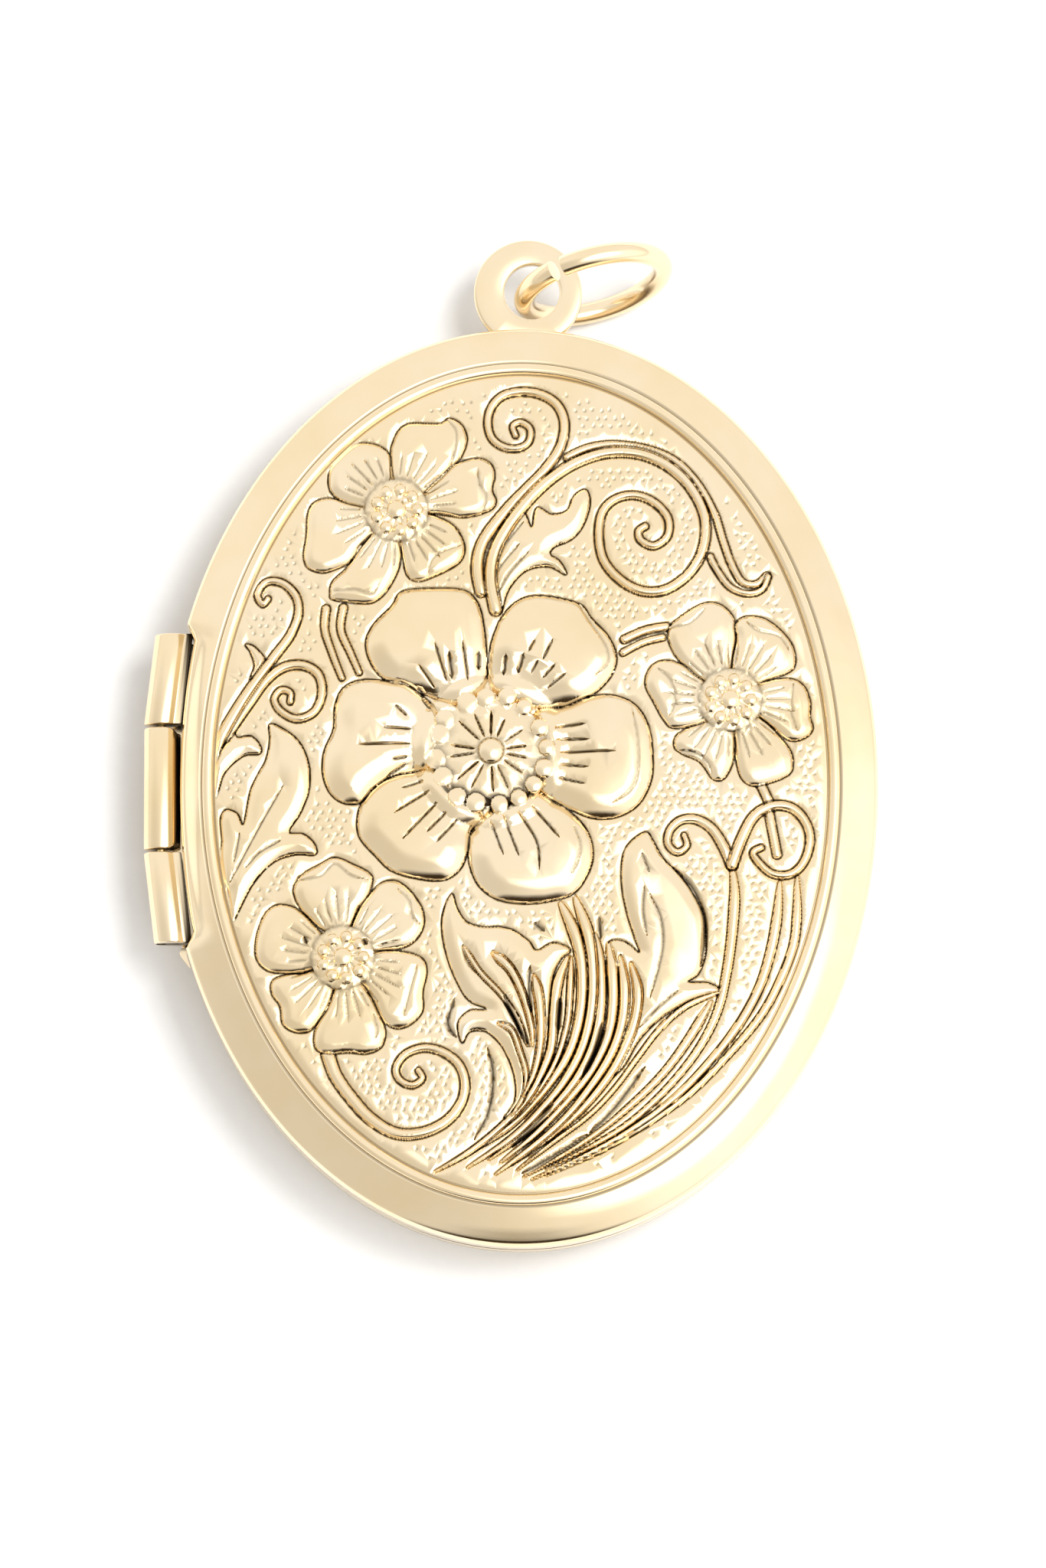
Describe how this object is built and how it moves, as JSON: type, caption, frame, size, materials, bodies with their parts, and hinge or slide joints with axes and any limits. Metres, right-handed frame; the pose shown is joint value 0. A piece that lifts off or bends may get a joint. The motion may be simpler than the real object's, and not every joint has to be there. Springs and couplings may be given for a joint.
{
  "type": "locket",
  "caption": "Oval hinged locket with an embossed domed cover, snap bezel, photo frames, a flat bail eye and a jump ring.",
  "frame": {"origin": "centre of the back's flat face, on which the shut locket lies", "axes": "+Z out of the front cover, +Y towards the bail, +X towards the opening side; the hinge runs along Y at -X"},
  "size_m": [0.0278, 0.0387, 0.0061],
  "materials": {
    "embossed_gold": "gold-filled sheet, die-struck and polished, with a stippled ground",
    "polished_gold": "gold-filled brass, mirror polished",
    "satin_gold": "gold-filled brass, drawn or pressed, satin bright",
    "clear_acetate": "clear sheet",
    "cream_card": "blank photo card, uncoated"
  },
  "bodies": {
    "back_half": {"back_shell": "polished_gold", "snap_bezel": "satin_gold", "back_photo_frame": "satin_gold", "back_window": "clear_acetate", "back_photo_card": "cream_card", "hinge_knuckle_middle": "polished_gold", "hinge_bearer": "polished_gold", "hinge_pin": "satin_gold", "bail": "polished_gold"},
    "front_cover": {"front_shell": "embossed_gold", "front_photo_frame": "satin_gold", "front_window": "clear_acetate", "front_photo_card": "cream_card", "hinge_knuckle_upper": "polished_gold", "hinge_knuckle_lower": "polished_gold"},
    "jump_ring": {"jump_ring": "polished_gold"}
  },
  "joints": [
    {"name": "cover_hinge", "type": "hinge", "parent": "back_half", "child": "front_cover", "pos_m": [-0.0136, 0, 0.0031], "axis": [0, -1, 0], "range_deg": [0, 180]},
    {"name": "ring_swing", "type": "hinge", "parent": "back_half", "child": "jump_ring", "pos_m": [0.00042, 0.01915, 0.00273], "axis": [0, 0, 1], "range_deg": [-20, 174]}
  ]
}
